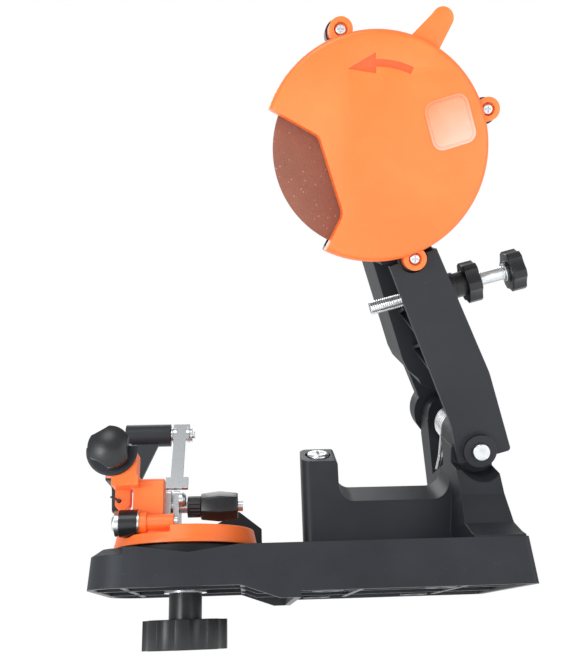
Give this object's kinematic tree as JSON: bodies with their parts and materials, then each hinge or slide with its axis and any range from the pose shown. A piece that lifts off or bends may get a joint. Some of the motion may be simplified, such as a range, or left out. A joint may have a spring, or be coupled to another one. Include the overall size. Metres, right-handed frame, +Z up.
{
  "type": "chain sharpener",
  "caption": "Bench-mounted electric chain sharpener with a guarded swing-down grinding head and a turntable chain vise.",
  "frame": {"origin": "centre of the four bench bolt holes, on the bench top", "axes": "+Z up; +Y away from the user; +X to the user's right, from the vise towards the pivot tower"},
  "size_m": [0.2488, 0.2225, 0.3332],
  "materials": {
    "black_casting": "glass-filled nylon, fine moulded grain",
    "orange_plastic": "moulded orange plastic, satin",
    "black_knob": "moulded plastic, satin",
    "abrasive": "bonded abrasive, red-brown, fine grit",
    "zinc_steel": "bright zinc plated",
    "steel": "bare turned steel",
    "spring_steel": "oiled spring wire",
    "black_steel": "blackened steel",
    "brass": "machined brass",
    "copper": "enamelled copper winding",
    "laminations": "stacked electrical steel",
    "carbon": "pressed carbon",
    "label": "blank moulded plate, satin",
    "switch_red": "glossy rocker",
    "rubber": "soft strain relief"
  },
  "bodies": {
    "base": {"base_casting": "black_casting", "stop_screw": "zinc_steel", "pivot_pin": "zinc_steel", "pivot_washers": "zinc_steel", "pivot_clip": "black_steel", "torsion_spring": "spring_steel"},
    "arm": {"arm_casting": "black_casting", "arm_back_cover": "black_casting", "cover_screws": "zinc_steel", "switch_body": "black_knob", "cable_gland": "rubber", "motor_stator": "laminations", "field_windings": "copper", "front_bearing": "steel", "rear_bearing": "steel", "motor_end_cap": "black_casting", "carbon_brushes": "carbon", "brush_holders": "brass", "brush_caps": "black_knob", "guard_cover": "orange_plastic", "rear_guard": "black_casting", "guard_screws": "zinc_steel", "rear_guard_screws": "zinc_steel", "blank_label": "label", "depth_insert": "brass"},
    "spindle": {"spindle": "steel", "grinding_wheel": "abrasive", "inner_flange": "zinc_steel", "outer_flange": "zinc_steel", "spindle_nut": "zinc_steel", "armature_core": "laminations", "armature_windings": "copper", "commutator": "copper", "cooling_fan": "black_knob"},
    "depth_screw": {"depth_screw": "zinc_steel"},
    "depth_knob": {"depth_knob": "black_knob"},
    "depth_lock": {"depth_lock_knob": "black_knob"},
    "switch_rocker": {"switch_rocker": "switch_red"},
    "turntable": {"turntable_vise": "orange_plastic", "turntable_bolt": "zinc_steel", "fixed_jaw": "zinc_steel", "clamp_stud": "zinc_steel", "guide_bolt": "zinc_steel", "guide_washers": "zinc_steel", "guide_bush": "black_knob", "lug_pin": "black_steel", "feed_insert": "brass"},
    "turntable_lock": {"lock_knob": "black_knob", "lock_washer": "zinc_steel"},
    "moving_jaw": {"moving_jaw": "zinc_steel", "jaw_button": "zinc_steel", "jaw_spacer": "zinc_steel", "clamp_collar": "black_knob"},
    "clamp_knob": {"clamp_knob": "black_knob"},
    "stop_bracket": {"stop_bracket": "black_casting", "pawl_pin": "zinc_steel", "pawl_clips": "zinc_steel"},
    "feed_knob": {"feed_knob": "black_knob", "feed_screw": "zinc_steel"},
    "pawl": {"stop_pawl": "zinc_steel"}
  },
  "joints": [
    {"name": "arm_swing", "type": "hinge", "parent": "base", "child": "arm", "pos_m": [0.0636, -0.019, 0.0726], "axis": [0, -0.866, -0.5], "range_deg": [0, 56.4], "stiffness_Nm_per_rad": 1.6, "springref_deg": -60.16, "deforming": ["torsion_spring"]},
    {"name": "wheel_spin", "type": "hinge", "parent": "arm", "child": "spindle", "pos_m": [0.0006, -0.09439, 0.22318], "axis": [0, 0.866, 0.5], "continuous": true},
    {"name": "depth_feed", "type": "slide", "parent": "arm", "child": "depth_screw", "axis": [0.9677, -0.126, 0.2183], "range_m": [0, 0.018]},
    {"name": "depth_knob_turn", "type": "hinge", "parent": "depth_screw", "child": "depth_knob", "pos_m": [0.0034, -0.03252, 0.15602], "axis": [0.9677, -0.126, 0.2183], "range_deg": [0, 5184]},
    {"name": "depth_lock_turn", "type": "hinge", "parent": "arm", "child": "depth_lock", "pos_m": [0.0034, -0.03252, 0.15602], "axis": [0.9677, -0.126, 0.2183], "range_deg": [-180, 0]},
    {"name": "switch_rock", "type": "hinge", "parent": "arm", "child": "switch_rocker", "pos_m": [0.0411, 0.03507, 0.18695], "axis": [0.9239, -0.1913, 0.3314], "range_deg": [-24, 0]},
    {"name": "turntable_turn", "type": "hinge", "parent": "base", "child": "turntable", "pos_m": [-0.1032, 0, 0.0263], "axis": [0, 0, 1], "range_deg": [-35, 35]},
    {"name": "turntable_lock_turn", "type": "hinge", "parent": "turntable", "child": "turntable_lock", "pos_m": [-0.1032, 0, 0], "axis": [0, 0, 1], "range_deg": [-180, 0]},
    {"name": "jaw_slide", "type": "slide", "parent": "turntable", "child": "moving_jaw", "axis": [-1, 0, 0], "range_m": [0, 0.0012]},
    {"name": "clamp_knob_turn", "type": "hinge", "parent": "moving_jaw", "child": "clamp_knob", "pos_m": [-0.095, 0.001, 0.0495], "axis": [1, 0, 0], "range_deg": [0, 432]},
    {"name": "stop_feed", "type": "slide", "parent": "turntable", "child": "stop_bracket", "axis": [0, 1, 0], "range_m": [-0.005, 0]},
    {"name": "feed_knob_turn", "type": "hinge", "parent": "stop_bracket", "child": "feed_knob", "pos_m": [-0.1412, -0.04, 0.0755], "axis": [0, 1, 0], "range_deg": [-1800, 0]},
    {"name": "pawl_swing", "type": "hinge", "parent": "stop_bracket", "child": "pawl", "pos_m": [-0.1093, 0.034, 0.099], "axis": [1, 0, 0], "range_deg": [-50, 0]}
  ],
  "couplings": [
    {"joint": "depth_knob_turn", "follows": "depth_feed", "rad_per_m": 5026.5},
    {"joint": "clamp_knob_turn", "follows": "jaw_slide", "rad_per_m": 6283.2},
    {"joint": "feed_knob_turn", "follows": "stop_feed", "rad_per_m": 6283.2}
  ]
}
